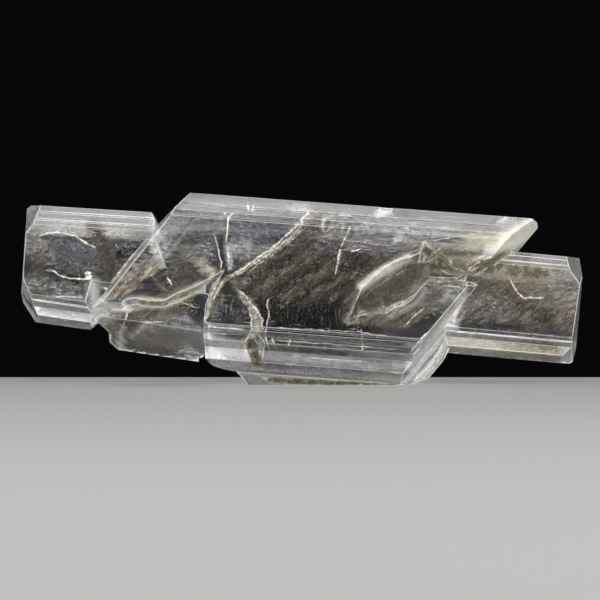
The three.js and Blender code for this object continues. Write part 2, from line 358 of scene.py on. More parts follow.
def add_crystal():
    """The specimen's skin: the solid's own faces, cut finer, with how near each place is to an edge."""
    cut = bmesh.new()
    cut.from_mesh(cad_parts["gypsum_crystal"].data)
    bmesh.ops.remove_doubles(cut, verts=cut.verts, dist=WELD * MM)
    bmesh.ops.dissolve_limit(cut, angle_limit=FLAT, verts=cut.verts, edges=cut.edges)
    bmesh.ops.triangulate(cut, faces=cut.faces)
    cut.verts.index_update()
    points = np.array([vertex.co for vertex in cut.verts])
    faces = np.array([[corner.vert.index for corner in face.loops] for face in cut.faces])
    nearness = np.array([edge_distances(face) for face in cut.faces])
    cut.free()
    points, faces, nearness = refined(points, faces, nearness)
    mesh = bpy.data.meshes.new("crystal")
    mesh.from_pydata(points, [], faces)
    for layer, name in enumerate(EDGE_LAYERS):
        attribute = mesh.attributes.new(name, "FLOAT", "CORNER")
        attribute.data.foreach_set("value", nearness[:, :, layer].ravel().astype(np.float32))
    mesh.materials.append(selenite())
    store(mesh, "frost_and_highlight", on_front(mesh, FROST_AND_HIGHLIGHTS))
    store(mesh, "stain_and_painted_light", on_front(mesh, STAINS_AND_PAINTED_LIGHT))
    store(mesh, "etched", on_back(mesh))
    crystal = bpy.data.objects.new("crystal", mesh)
    bpy.context.scene.collection.objects.link(crystal)
    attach(crystal, "root")
    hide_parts("gypsum_crystal")


def edge_distances(face):
    """For each corner of a face, its distance in edge widths from each of the three sides that is sharp."""
    distances = np.full((3, 3), NO_EDGE)
    for layer, side in enumerate(face.loops):
        angle = side.edge.calc_face_angle_signed(0)
        if abs(angle) < SHARP:
            continue
        height = 2 * face.calc_area() / side.edge.calc_length() / MM
        # How wide the white band of edge wearing and painted highlight is at this edge
        wear_and_highlight = min(1.0, BLUNT_WEAR_AND_HIGHLIGHT + WEAR_AND_HIGHLIGHT_RISE * abs(angle))
        width = EDGE_WIDTH * (1.0 if angle > 0 else INNER_WEAR_AND_HIGHLIGHT) * wear_and_highlight
        start, end = (vertex.co for vertex in side.edge.verts)
        if max(start.y, end.y) > REAR_FROM * MM:
            width *= REAR_WEAR_AND_HIGHLIGHT
        along = abs((end - start).normalized().dot(LENGTHWISE))
        if along > NEARLY_ALONG and start.y < LEDGES_TO * MM:
            width *= LEDGE_WEAR_AND_HIGHLIGHT
        distances[:, layer] = 0
        distances[(layer + 2) % 3, layer] = height / width
    return distances


def refined(points, faces, values):
    """Halves the long sides of a triangle mesh until all are short; values are averaged between corners."""
    for _ in range(MOST_ROUNDS):
        sides = np.linalg.norm(points[faces] - points[np.roll(faces, -1, axis=1)], axis=2)
        if not (sides > PATCH * MM).any():
            break
        new_points = list(points)
        middles = {}
        new_faces = []
        new_values = []
        for face, value, is_long in zip(faces.tolist(), values, sides > PATCH * MM):
            ring = []
            ring_values = []
            for k in range(3):
                ring.append(face[k])
                ring_values.append(value[k])
                if is_long[k]:
                    ends = tuple(sorted((face[k], face[(k + 1) % 3])))
                    if ends not in middles:
                        middles[ends] = len(new_points)
                        new_points.append((points[ends[0]] + points[ends[1]]) / 2)
                    ring.append(middles[ends])
                    ring_values.append((value[k] + value[(k + 1) % 3]) / 2)
            for triangle in ring_triangles(is_long):
                new_faces.append([ring[k] for k in triangle])
                new_values.append([ring_values[k] for k in triangle])
        points = np.array(new_points)
        faces = np.array(new_faces)
        values = np.array(new_values)
    return points, faces, values


def ring_triangles(is_long):
    """How a triangle is parted whose long sides have a middle point; its points are counted round it."""
    count = int(is_long.sum())
    if count == 0:
        return [(0, 1, 2)]
    if count == 3:
        return [(0, 1, 5), (1, 2, 3), (3, 4, 5), (1, 3, 5)]
    corner_at = [k + int(is_long[:k].sum()) for k in range(3)]
    ring_size = 3 + count
    if count == 1:
        side = int(np.argmax(is_long))
        middle = corner_at[side] + 1
        apex = corner_at[(side + 2) % 3]
        return [(corner_at[side], middle, apex), (middle, (middle + 1) % ring_size, apex)]
    side = int(np.argmin(is_long))
    apex = corner_at[(side + 2) % 3]
    after = (apex + 1) % ring_size
    before = (apex - 1) % ring_size
    start = corner_at[side]
    end = corner_at[(side + 1) % 3]
    return [(before, apex, after), (before, after, start), (before, start, end)]


def places_and_facing(mesh):
    """The pixel of each vertex of the skin, and how much the surface faces the front there (-1 to 1)."""
    count = len(mesh.vertices)
    points = np.empty(count * 3)
    mesh.vertices.foreach_get("co", points)
    normals = np.empty(count * 3)
    mesh.vertices.foreach_get("normal", normals)
    px, py = pixel_of(points.reshape(-1, 3) / MM)
    return px, py, -normals.reshape(-1, 3)[:, 1]


def on_front(mesh, strokes):
    """How strongly strokes cover each vertex of the skin: they count on what faces the front."""
    px, py, facing = places_and_facing(mesh)
    return painted(px, py, strokes) * np.clip((facing - FRONT_FROM) / FRONT_FADE, 0, 1)


def on_back(mesh):
    """How strongly each vertex of the back is etched: not at all behind the clear windows."""
    px, py, facing = places_and_facing(mesh)
    return np.clip(BACK_FROM - facing, 0, 1) * (1 - painted(px, py, CLEAR_WINDOWS))


def store(mesh, name, values):
    attribute = mesh.attributes.new(name, "FLOAT", "POINT")
    attribute.data.foreach_set("value", values.astype(np.float32))


# What is inside the crystal

SKIN_GAP = 0.07  # how far under the surface an inner piece begins, in millimetres


def solid_tree():
    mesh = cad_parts["gypsum_crystal"].data
    points = [vertex.co / MM for vertex in mesh.vertices]
    return BVHTree.FromPolygons(points, [tuple(face.vertices) for face in mesh.polygons])


SOLID = solid_tree()


def front_depth(px, py):
    """The depth at which a pixel's line of sight meets the solid, or None beside it."""
    eye = Vector((0, CAMERA_DEPTH, CAMERA_HEIGHT))
    sight = Vector(((px - VIEW_CENTRE) / PIXELS_PER_SLOPE, 1, (VIEW_CENTRE - py) / PIXELS_PER_SLOPE))
    place = SOLID.ray_cast(eye, sight)[0]
    return None if place is None else place.y


def is_inside(point, gap=SKIN_GAP):
    """Whether a point is in the solid, at least a gap away from its surface."""
    place, normal, _, distance = SOLID.find_nearest(Vector(point))
    return (Vector(point) - place).dot(normal) < 0 and distance >= gap


class Shapes:
    """Collects small shapes for one object; each point has a tone, from dark to white, and a cover."""

    def __init__(self):
        self.points = []
        self.faces = []
        self.tones = []
        self.covers = []

    def add(self, points, faces, tone, cover):
        first = len(self.points)
        self.points.extend(tuple(point) for point in points)
        self.faces.extend(tuple(first + k for k in face) for face in faces)
        self.tones.extend(np.broadcast_to(tone, len(points)).tolist())
        self.covers.extend(np.broadcast_to(cover, len(points)).tolist())

    def build(self, name, material):
        mesh = bpy.data.meshes.new(name)
        mesh.from_pydata([Vector(point) * MM for point in self.points], [], self.faces)
        store(mesh, "tone", np.array(self.tones))
        store(mesh, "cover", np.array(self.covers))
        mesh.materials.append(material)
        piece = bpy.data.objects.new(name, mesh)
        bpy.context.scene.collection.objects.link(piece)
        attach(piece, "root")


def inclusion(name, stops, angle=0.0, streak=(1, 1, 1), alpha_range=(0.0, 0.4), scale=1.0, contrast=1.6):
    """What is enclosed in the crystal: its tone picks the colour, and it is thin where its cover is low."""
    n = Nodes(name)
    streaks = n.noise(n.mapped(angle, streak), scale, detail=6, roughness=0.75, distortion=0.4)
    grain = n.noise(n.mapped(0.3), 5.0, detail=4, roughness=0.7)
    uneven = n.total((streaks, 0.7), (grain, 0.3))
    tone = n.math("ADD", n.attribute("tone"), n.swing(uneven, 0.6 * contrast))
    thick = n.math("ADD", n.attribute("cover"), n.swing(uneven, contrast))
    alpha = n.ramp(thick, *alpha_range)
    present = n.ramp(n.attribute("cover"), 0.0, 0.12)
    shader = n.principled(
        Base_Color=n.colours(tone, *stops),
        Roughness=0.8,
        Alpha=n.math("MULTIPLY", alpha, present),
        Normal=n.bump(grain, 0.6, 0.05 * MM),
    )
    n.put(shader.outputs[0], n.out.inputs["Surface"])
    return n.material


CLAY_COLOURS = (
    (0.2, (0.008, 0.006, 0.005)),
    (0.5, (0.046, 0.035, 0.025)),
    (0.8, (0.20, 0.16, 0.115)),
    (1.0, (0.5, 0.45, 0.35)),
)
# The darkest tones, blue-black and lilac, are painted shade; the greys and white are the veils' own colour
VEIL_AND_PAINTED_SHADE_COLOURS = (
    (0.0, (0.009, 0.008, 0.016)),
    (0.2, (0.10, 0.095, 0.135)),
    (0.40, (0.27, 0.265, 0.245)),
    (0.65, (0.44, 0.44, 0.45)),
    (0.95, (0.86, 0.86, 0.84)),
)
HEALED_COLOURS = ((0.1, (0.20, 0.17, 0.13)), (0.5, (0.56, 0.53, 0.46)), (0.9, (0.92, 0.91, 0.88)))
DIAGONAL = math.radians(39)  # the clay's streaks rise to the right


# Films: thin sheets of clay or of fine bubbles inside the crystal, and dark sheets of painted shade. Each
# has its depth and the height of its waves in millimetres, its tone, and its strokes

FILM_STEP = 1.9  # pixels between the points of a film
FILM_LEFT, FILM_RIGHT = 22, 580
FILM_TOP, FILM_BOTTOM = 188, 388
WAVES = (0.045, 0.06)  # across and down, in radians for each pixel
WAVE_SHIFT = 1.7
RIPPLES = (0.13, 0.11)
RIPPLE_HEIGHT = 0.4
FAINTEST = 0.01  # a film ends where it covers less than this
FILM_GAP = 0.40  # how far under the surface the first film lies where it would come out, in millimetres
FILM_SPACING = 0.02  # how much deeper each further film lies there
VEILS_FROM = 5.5  # the first veil's number among the films

CLAY_FILMS = [
    (-10.0, 0.5, 0.55, [
        ([(234, 279), (262, 262), (285, 247), (306, 227)], 11, 0.85),
        ([(262, 290), (285, 272), (312, 254)], 12, 0.6),
        ([(285, 297), (315, 277), (345, 258)], 11, 0.65),
        ([(316, 293), (350, 275), (384, 262)], 10, 0.6),
        ([(340, 310), (362, 288)], 9, 0.5),
        ([(305, 262), (334, 238)], 9, 0.45),
        ([(350, 250), (400, 246), (430, 250)], 10, 0.4),
        ([(165, 283), (182, 270)], 13, 0.6),
        ([(160, 297), (187, 282)], 7, 0.9),
        ([(345, 318), (400, 318), (438, 303)], 12, 0.6),
    ]),
    (-7.5, 0.9, 0.45, [
        ([(245, 300), (290, 285), (330, 262)], 16, 0.55),
        ([(300, 300), (340, 290), (372, 270)], 14, 0.55),
        ([(262, 262), (300, 236), (325, 225)], 12, 0.45),
        ([(392, 262), (430, 262), (450, 280)], 14, 0.45),
        ([(455, 262), (480, 259), (505, 254)], 7, 0.8),
        ([(486, 238), (505, 241)], 7, 0.45),
        ([(128, 345), (160, 350), (192, 356)], 11, 0.55),
        ([(133, 314), (165, 310), (190, 304)], 14, 0.75),
        ([(93, 226), (104, 248), (112, 282)], 13, 0.9),
        ([(122, 292), (140, 268)], 14, 0.5),
        ([(58, 267), (86, 273)], 5, 0.65),
        ([(58, 250), (90, 260)], 13, 0.4),
    ]),
    (-5.0, 1.2, 0.62, [
        ([(250, 280), (300, 262), (350, 250), (420, 262)], 18, 0.45),
        ([(458, 292), (500, 288), (548, 292)], 34, 0.95),
        ([(556, 278), (572, 300), (562, 330)], 26, 0.7),
        ([(28, 224), (44, 262), (34, 296)], 16, 0.45),
        ([(466, 316), (520, 316)], 16, 0.6),
        ([(455, 270), (548, 276)], 14, 0.7),
        ([(530, 280), (548, 274)], 15, 0.8),
        ([(527, 318), (540, 335), (548, 350)], 15, 0.8),
        ([(500, 284), (503, 292)], 8, 0.75),
        ([(100, 235), (120, 250), (130, 262)], 12, 0.3),
    ]),
    (-10.3, 0.2, 0.95, [
        ([(231, 277), (258, 260), (282, 244), (302, 226)], 5, 0.6),
        ([(288, 236), (303, 222)], 10, 0.6),
        ([(228, 277), (218, 288), (211, 302), (207, 319)], 5, 0.6),
        ([(241, 296), (250, 306), (257, 318), (258, 332), (251, 345)], 6, 0.62),
        ([(200, 262), (211, 272), (214, 287)], 10, 0.55),
        ([(140, 300), (170, 303), (196, 289)], 7, 0.6),
        ([(112, 320), (122, 340)], 10, 0.4),
        ([(410, 248), (428, 250), (446, 264)], 8, 0.5),
        ([(334, 222), (330, 236)], 6, 0.45),
        ([(378, 312), (404, 312), (424, 300)], 9, 0.4),
        ([(470, 248), (496, 246), (512, 240)], 8, 0.55),
        ([(478, 238), (500, 237)], 5, 0.45),
        ([(350, 320), (376, 318)], 9, 0.4),
    ]),
    (-12.0, 0.0, 0.55, [
        ([(125, 318), (155, 318), (190, 306)], 12, 0.7),
        ([(124, 334), (134, 324), (146, 314)], 11, 1.2),
        ([(366, 318), (404, 322), (440, 292)], 13, 0.75),
        ([(352, 318), (357, 304), (364, 298)], 6, 0.8),
        ([(96, 236), (106, 252), (112, 284)], 10, 0.5),
        ([(527, 262), (548, 290)], 14, 0.4),
        ([(456, 262), (520, 266)], 10, 0.62),
        ([(548, 300), (566, 322)], 18, 0.45),
    ]),
    (-12.0, 0.0, 0.7, [
        ([(112, 330), (134, 338), (160, 347)], 24, 0.95),
        ([(146, 336), (176, 344)], 20, 0.85),
    ]),
    (-12.0, 0.0, 0.8, [
        ([(510, 348), (550, 355)], 20, 0.55),
        ([(116, 292), (134, 282), (154, 262)], 15, 0.62),
        ([(186, 250), (204, 262)], 12, 0.45),
        ([(440, 250), (470, 248), (500, 240)], 11, 0.45),
        ([(525, 345), (550, 350)], 20, 1.0),
        ([(466, 272), (520, 280)], 16, 0.25),
    ]),
    (-8.6, 0.3, 0.45, [
        ([(112, 336), (140, 342), (172, 348)], 20, 0.8),
        ([(170, 346), (203, 350)], 16, 0.4),
        ([(118, 322), (150, 318), (190, 302)], 12, 0.6),
    ]),
    (3.0, 1.5, 0.4, [
        ([(270, 285), (350, 265), (400, 275)], 40, 0.6),
        ([(150, 285), (190, 275)], 24, 0.4),
    ]),
    (6.5, 1.5, 0.55, [
        ([(280, 292), (340, 262), (400, 262)], 30, 0.6),
        ([(470, 290), (520, 286)], 24, 0.5),
    ]),
]

# Veils of fine bubbles, and dark sheets of painted shade where their tone is low
VEILS_AND_PAINTED_SHADE = [
    (-9.6, 0.7, 0.35, [
        ([(150, 245), (200, 232), (300, 222)], 40, 0.22),
        ([(300, 225), (400, 234), (470, 240)], 34, 0.1),
        ([(160, 262), (210, 264)], 24, 0.25),
        ([(110, 334), (200, 342)], 30, 0.46),
        ([(236, 250), (262, 244)], 26, 0.5),
        ([(214, 300), (240, 312)], 22, 0.18),
        ([(420, 290), (450, 286)], 16, 0.4),
    ]),
    # Dark lines and patches: near-black sheets of painted shade
    (-12.0, 0.0, -0.1, [
        ([(268, 331), (330, 334), (404, 342)], 6, 0.7),
        ([(212, 333), (244, 335)], 5, 0.6),
        ([(300, 349), (345, 353)], 5, 0.5),
        ([(355, 359), (390, 365)], 5, 0.55),
        ([(456, 327), (566, 334)], 7, 0.75),
        ([(56, 300), (90, 303)], 6, 0.5),
        ([(220, 236), (221, 256), (224, 274)], 5, 0.85),
        ([(170, 237), (196, 240)], 10, 0.42),
        ([(176, 252), (200, 256)], 8, 0.35),
        ([(256, 243), (282, 238)], 8, 0.45),
        ([(350, 258), (372, 262)], 12, 0.4),
        ([(108, 240), (140, 244)], 12, 0.4),
        ([(178, 312), (203, 316)], 12, 0.75),
        ([(208, 300), (224, 318)], 12, 0.3),
    ]),
    (-12.0, 0.0, 0.48, [
        ([(50, 308), (92, 312)], 20, 0.85),
        ([(160, 334), (206, 344)], 24, 0.8),
        ([(454, 347), (500, 350), (572, 359)], 24, 0.9),
        ([(270, 350), (340, 358), (404, 366)], 22, 0.3),
    ]),
    # Dark lilac sheets of painted shade, among them over the top bands
    (-12.0, 0.0, 0.15, [
        ([(236, 226), (285, 230)], 22, 0.62),
        ([(180, 218), (216, 224)], 20, 0.42),
        ([(58, 246), (90, 256)], 18, 0.55),
        ([(50, 214), (100, 218), (146, 222)], 9, 0.4),
        ([(285, 222), (300, 220)], 10, 0.5),
        ([(320, 245), (420, 252)], 12, 0.4),
    ]),
    (-12.0, 0.0, 0.66, [
        ([(228, 246), (230, 268)], 6, 0.6),
        ([(153, 240), (157, 253), (161, 264)], 8, 0.8),
        ([(204, 345), (246, 352)], 16, 0.3),
    ]),
    (-10.5, 0.3, 0.6, [
        ([(160, 240), (178, 222), (214, 222)], 24, 0.4),
        ([(170, 250), (205, 250)], 18, 0.22),
        ([(232, 222), (298, 216)], 22, 0.18),
        ([(234, 246), (262, 242)], 18, 0.34),
        ([(325, 236), (352, 228)], 14, 0.26),
        ([(345, 224), (400, 230), (450, 236)], 20, 0.34),
        ([(350, 245), (400, 249)], 9, 0.34),
        ([(122, 286), (148, 258)], 15, 0.25),
        ([(428, 303), (456, 291)], 14, 0.4),
    ]),
    (-10.0, 0.2, 0.75, [
        ([(294, 210), (306, 212)], 10, 0.55),
        ([(248, 207), (252, 212)], 4, 0.5),
        ([(395, 242), (402, 236)], 6, 0.6),
        ([(399, 232), (406, 240)], 5, 0.45),
        ([(322, 228), (324, 219), (331, 216)], 5, 0.5),
    ]),
    (-8.6, 0.6, 0.5, [
        ([(200, 262), (212, 275)], 11, 0.55),
        ([(237, 284), (246, 281)], 9, 0.5),
        ([(350, 318), (400, 320), (440, 306)], 13, 0.22),
        ([(346, 320), (356, 306), (372, 291)], 5, 0.6),
        ([(108, 312), (125, 318)], 12, 0.5),
        ([(249, 300), (256, 315), (257, 332)], 7, 0.6),
        ([(215, 305), (216, 325)], 8, 0.3),
    ]),
    (-6.2, 0.8, 0.5, [
        ([(28, 220), (120, 228)], 18, 0.4),
        ([(28, 244), (92, 256)], 22, 0.36),
        ([(28, 282), (90, 290)], 14, 0.3),
        ([(60, 262), (120, 270)], 18, 0.25),
        ([(545, 290), (570, 294)], 30, 0.28),
        ([(466, 302), (500, 306)], 20, 0.22),
        ([(458, 345), (545, 352)], 18, 0.3),
        ([(112, 240), (140, 232)], 18, 0.32),
    ]),
]


def add_film(shapes, number, depth, wave, tone, strokes):
    """A sheet that is present where its strokes are and stays under the surface."""
    columns = np.arange(FILM_LEFT, FILM_RIGHT, FILM_STEP)
    rows = np.arange(FILM_TOP, FILM_BOTTOM, FILM_STEP)
    px, py = (grid.ravel() for grid in np.meshgrid(columns, rows))
    cover = painted(px, py, strokes)
    waves = np.sin(px * WAVES[0] + number) * np.cos(py * WAVES[1] + WAVE_SHIFT * number)
    waves = waves + RIPPLE_HEIGHT * np.sin(px * RIPPLES[0] + py * RIPPLES[1] + number)
    index = {}
    points = []
    covers = []
    for place in np.flatnonzero(cover > FAINTEST):
        front = front_depth(px[place], py[place])
        if front is None:
            continue
        deep = max(depth + wave * waves[place], front + FILM_GAP + FILM_SPACING * number)
        point = seen(px[place], py[place], deep, front)
        if is_inside(point):
            index[place] = len(points)
            points.append(point)
            covers.append(cover[place])
    wide = len(columns)
    faces = []
    for place in index:
        corners = (place, place + 1, place + wide + 1, place + wide)
        if (place + 1) % wide and all(corner in index for corner in corners):
            faces.append(tuple(index[corner] for corner in corners))
    shapes.add(points, faces, tone, covers)


# Cracks: thin blades under the surface. Each has its points and its first and last width in pixels,
# its tone, its depth in millimetres, and how many pixels its back is beside its front

CRACK_STEP = 0.9  # pixels between a crack's points
CRACK_WANDER = 0.55  # how far it strays from its line, in pixels
CRACK_WIDTHS = (0.2, 1.6)  # least and greatest share of its width, drawn for each point and smoothed
CRACK_TAPER = 8  # a higher taper makes shorter ends
BLUNT_END = 0.25  # share of its width that a crack has at its ends
CRACK_TONE = 0.72
CRACK_TONES = 0.08
CRACK_GAP = 0.02
CRACK_COVERS = (0.55, 1.0, 0.55, 0.30)  # at one rim, the middle, the other rim and the back
COVER_SPREAD = (0.7, 1.1)

CRACKS = [
    # The middle crystal's upper left part
    ([(229, 215), (228, 222), (227, 233), (226, 243)], (2.4, 1.6), 1.0, 2.5, (1, 0)),
    ([(224, 212), (228, 218)], (1.6, 2.4), 1.0, 1.5, (0, 1)),
    ([(233, 213), (229, 218)], (1.6, 2.2), 1.0, 1.5, (0, 1)),
    ([(227, 246), (229, 262)], (1.6, 2.0), 0.9, 2.0, (1, 0)),
    ([(214, 235), (218, 247), (221, 262), (220, 274)], (1.2, 1.6), 0.7, 2.0, (2, 0)),
    ([(248, 204), (249, 212)], (1.6, 2.4), 1.0, 1.0, (1, 0)),
    ([(254, 204), (252, 212), (257, 209)], (1.2, 2.0), 1.0, 1.0, (1, 0)),
    # The diagonal ridge
    ([(230, 276), (244, 268), (257, 258), (270, 250), (279, 242), (289, 233), (300, 223)],
     (2.0, 3.0), 0.8, 3.0, (3, 3)),
    ([(231, 278), (245, 270), (259, 260), (272, 252), (282, 244), (292, 236), (303, 225)],
     (2.6, 5.0), 0.42, 5.0, (6, 5)),
    ([(246, 273), (262, 262), (280, 249), (296, 236), (306, 226)], (1.6, 2.4), 0.35, 4.0, (6, 5)),
    ([(300, 223), (305, 215), (315, 209)], (4.0, 3.0), 0.8, 3.0, (5, 4)),
    # The rounded loop and the streaks by it
    ([(325, 234), (322, 226), (324, 218), (330, 215), (335, 218)], (2.0, 2.5), 0.35, 2.0, (3, 2)),
    ([(326, 232), (331, 226), (334, 219)], (1.5, 1.5), 0.35, 2.0, (2, 2)),
    ([(336, 212), (350, 213)], (1.4, 1.4), 1.0, 0.8, (0, 1)),
    ([(338, 215), (352, 216)], (1.6, 1.2), 1.0, 0.8, (0, 1)),
    ([(350, 226), (346, 236), (341, 247)], (1.6, 2.0), 0.85, 2.5, (3, 1)),
    ([(340, 249), (338, 262), (335, 274)], (3.0, 1.4), 0.65, 3.5, (3, 1)),
    ([(344, 240), (390, 246)], (1.0, 1.0), 0.6, 0.8, (0, 1)),
    ([(350, 252), (358, 250), (361, 249)], (1.2, 1.4), 1.0, 0.8, (0, 1)),
    # Round the clear column at the lower left: its left side, its right band and the lines beside it
    ([(221, 272), (219, 279), (215, 288), (210, 298), (208, 308), (208, 314), (205, 320)],
     (3.2, 3.6), 0.55, 4.0, (4, 0)),
    ([(224, 279), (218, 290), (213, 300)], (1.4, 1.6), 0.75, 2.0, (3, 0)),
    ([(209, 322), (209, 335), (211, 350), (214, 358)], (2.0, 2.8), 0.95, 2.5, (3, 0)),
    ([(204, 318), (208, 325), (215, 327), (228, 328), (243, 329)], (2.0, 1.4), 0.95, 1.2, (0, 2)),
    ([(238, 290), (244, 294), (249, 302), (256, 309), (262, 319), (263, 330)],
     (2.8, 3.4), 0.6, 4.0, (-5, 0)),
    ([(249, 309), (252, 319), (251, 330), (246, 340), (244, 346)], (1.6, 2.2), 0.75, 3.0, (4, 0)),
    ([(244, 346), (248, 356), (256, 364), (263, 367)], (1.8, 2.0), 0.9, 2.0, (3, 0)),
    ([(250, 349), (258, 351), (265, 353)], (1.8, 1.6), 0.95, 1.5, (0, 2)),
    ([(268, 298), (267, 305), (269, 313), (267, 325), (265, 337)], (1.0, 2.0), 0.7, 2.0, (2, 0)),
    ([(265, 337), (268, 345), (270, 352)], (2.6, 1.4), 0.95, 1.5, (2, 0)),
    ([(272, 338), (275, 346)], (1.6, 1.0), 1.0, 1.0, (1, 0)),
    ([(291, 339), (288, 346)], (1.6, 1.0), 1.0, 1.0, (1, 0)),
    ([(212, 340), (214, 348), (213, 354)], (1.4, 1.4), 0.6, 1.5, (2, 0)),
    # Lines along the lower bevels
    ([(269, 327), (300, 329), (360, 332), (404, 339)], (1.0, 1.2), 0.6, 0.7, (0, 1)),
    ([(215, 341), (244, 343)], (1.0, 1.2), 0.9, 0.7, (0, 1)),
    ([(270, 340), (330, 344), (404, 350)], (1.2, 1.0), 0.5, 0.7, (0, 1)),
    ([(290, 365), (350, 369), (403, 375)], (1.2, 1.8), 0.95, 0.7, (0, 1)),
    ([(310, 358), (370, 362)], (1.0, 1.0), 0.8, 0.7, (0, 1)),
    ([(361, 329), (362, 340), (363, 350)], (1.6, 1.2), 0.8, 1.0, (1, 0)),
    ([(385, 372), (397, 375), (402, 376)], (1.5, 2.2), 1.0, 0.7, (0, 1)),
    # The lips of the leaf-shaped hollow
    ([(370, 287), (378, 281), (387, 277), (393, 273), (400, 270), (408, 263)],
     (1.6, 1.8), 1.0, 2.0, (2, 3)),
    ([(364, 285), (375, 273), (387, 265), (398, 260), (408, 256)], (1.2, 1.4), 0.65, 1.5, (0, 2)),
    ([(385, 313), (391, 310), (399, 305), (407, 301), (415, 296), (419, 290), (425, 283)],
     (1.8, 2.0), 0.95, 2.5, (2, 4)),
    ([(360, 311), (374, 310), (386, 311)], (1.2, 1.2), 0.6, 1.5, (0, 2)),
    ([(347, 319), (355, 306), (363, 300), (372, 290)], (2.2, 3.4), 0.45, 3.0, (4, 2)),
    ([(404, 327), (412, 318), (424, 308)], (1.4, 2.2), 0.45, 2.5, (3, 2)),
    # The beak's lips
    ([(422, 241), (424, 248), (431, 253), (439, 257), (447, 264), (451, 269)],
     (1.6, 1.8), 0.85, 2.5, (2, 2)),
    ([(451, 269), (458, 273), (466, 272), (471, 267), (482, 260), (493, 256), (505, 253)],
     (2.0, 1.8), 0.9, 2.0, (0, 3)),
    ([(456, 268), (466, 266), (474, 260), (486, 255)], (1.4, 1.4), 0.8, 2.0, (0, 2)),
    ([(431, 241), (454, 237), (474, 234), (494, 230)], (1.2, 1.4), 0.6, 1.2, (0, 2)),
    ([(505, 231), (522, 227), (534, 225)], (1.4, 1.6), 0.7, 1.0, (0, 1)),
    ([(443, 285), (462, 287)], (1.2, 1.4), 1.0, 1.0, (0, 1)),
    ([(426, 276), (444, 278), (458, 277)], (1.0, 1.0), 0.6, 1.0, (0, 1)),
    # The right end bevel
    ([(463, 289), (465, 294), (460, 305), (452, 316)], (2.0, 3.6), 0.9, 2.0, (2, 0)),
    ([(443, 325), (449, 328), (455, 327)], (5.0, 4.0), 1.0, 1.5, (0, 1)),
    ([(410, 352), (420, 340), (432, 328), (441, 318)], (1.4, 1.6), 0.95, 0.8, (1, 1)),
    ([(412, 381), (428, 368), (440, 350), (447, 334)], (1.4, 1.8), 0.95, 0.8, (1, 1)),
    # The right crystal
    ([(507, 273), (512, 283), (518, 293), (524, 298), (545, 298)], (1.8, 1.8), 0.8, 2.5, (2, 2)),
    ([(531, 263), (540, 260), (547, 258)], (3.0, 3.5), 1.0, 1.2, (0, 1)),
    ([(457, 334), (480, 335), (515, 338)], (1.2, 1.2), 0.75, 0.8, (0, 1)),
    ([(461, 305), (456, 314), (452, 326)], (2.0, 3.0), 0.8, 2.0, (3, 1)),
    # The left crystal
    ([(38, 236), (54, 232), (64, 233), (75, 236), (85, 242), (96, 248)], (1.8, 2.2), 0.9, 3.0, (0, 3)),
    ([(156, 240), (160, 252), (165, 268)], (3.2, 2.6), 0.55, 1.0, (1, 0)),
    ([(46, 270), (54, 271), (60, 276), (70, 278), (82, 279), (92, 279)], (1.4, 1.6), 0.9, 1.5, (0, 1)),
    ([(54, 296), (68, 297), (83, 297)], (1.3, 1.3), 0.85, 0.8, (0, 1)),
    ([(85, 273), (91, 273)], (4.0, 5.0), 1.3, 0.8, (0, 0)),
    ([(85, 277), (92, 277)], (3.0, 4.0), 1.2, 0.8, (0, 0)),
    ([(92, 279), (95, 290), (93, 300)], (2.0, 3.0), 0.9, 1.5, (1, 0)),
    # The middle crystal's left side
    ([(157, 226), (148, 238), (130, 258), (118, 274), (104, 293)], (1.6, 1.8), 0.8, 1.0, (2, 2)),
    ([(167, 277), (170, 281), (172, 285)], (1.5, 2.2), 1.0, 1.5, (1, 1)),
    ([(167, 283), (170, 281), (172, 280)], (1.0, 1.4), 0.7, 1.5, (1, 1)),
    ([(97, 306), (110, 307), (127, 308)], (2.2, 3.0), 1.0, 1.0, (0, 1)),
    ([(128, 300), (139, 300), (165, 302), (174, 297), (192, 288), (206, 283)],
     (1.6, 2.6), 0.75, 3.0, (1, 3)),
    ([(139, 301), (152, 302), (168, 303)], (1.2, 1.6), 0.95, 1.0, (0, 1)),
    ([(128, 310), (125, 321), (121, 330), (121, 337), (122, 343)], (2.4, 2.6), 0.7, 2.5, (2, 0)),
    ([(133, 337), (139, 332), (144, 325), (150, 322), (163, 322)], (1.8, 1.6), 0.75, 2.0, (1, 2)),
    ([(128, 304), (129, 312), (134, 308)], (1.5, 1.5), 0.6, 2.0, (2, 1)),
    ([(165, 305), (182, 302), (200, 309)], (1.2, 1.0), 0.55, 1.5, (1, 1)),
    ([(171, 344), (177, 350)], (1.0, 1.0), 0.9, 0.8, (1, 0)),
    ([(176, 341), (187, 341)], (1.2, 1.2), 0.9, 0.8, (0, 1)),
    ([(180, 350), (188, 350)], (1.2, 1.2), 0.9, 0.8, (0, 1)),
]


def sampled(points, step):
    """Evenly spaced points on a broken line, how far along it each is (0 to 1), and the way across it."""
    corners = np.array(points, float)
    runs = np.linalg.norm(np.diff(corners, axis=0), axis=1)
    along = np.concatenate([[0], np.cumsum(runs)])
    share = np.linspace(0, 1, max(3, int(along[-1] / step) + 1))
    path = np.stack([np.interp(share * along[-1], along, corners[:, k]) for k in (0, 1)], axis=1)
    ahead = np.gradient(path, axis=0)
    ahead /= np.linalg.norm(ahead, axis=1)[:, None]
    return path, share, np.stack([-ahead[:, 1], ahead[:, 0]], axis=1)


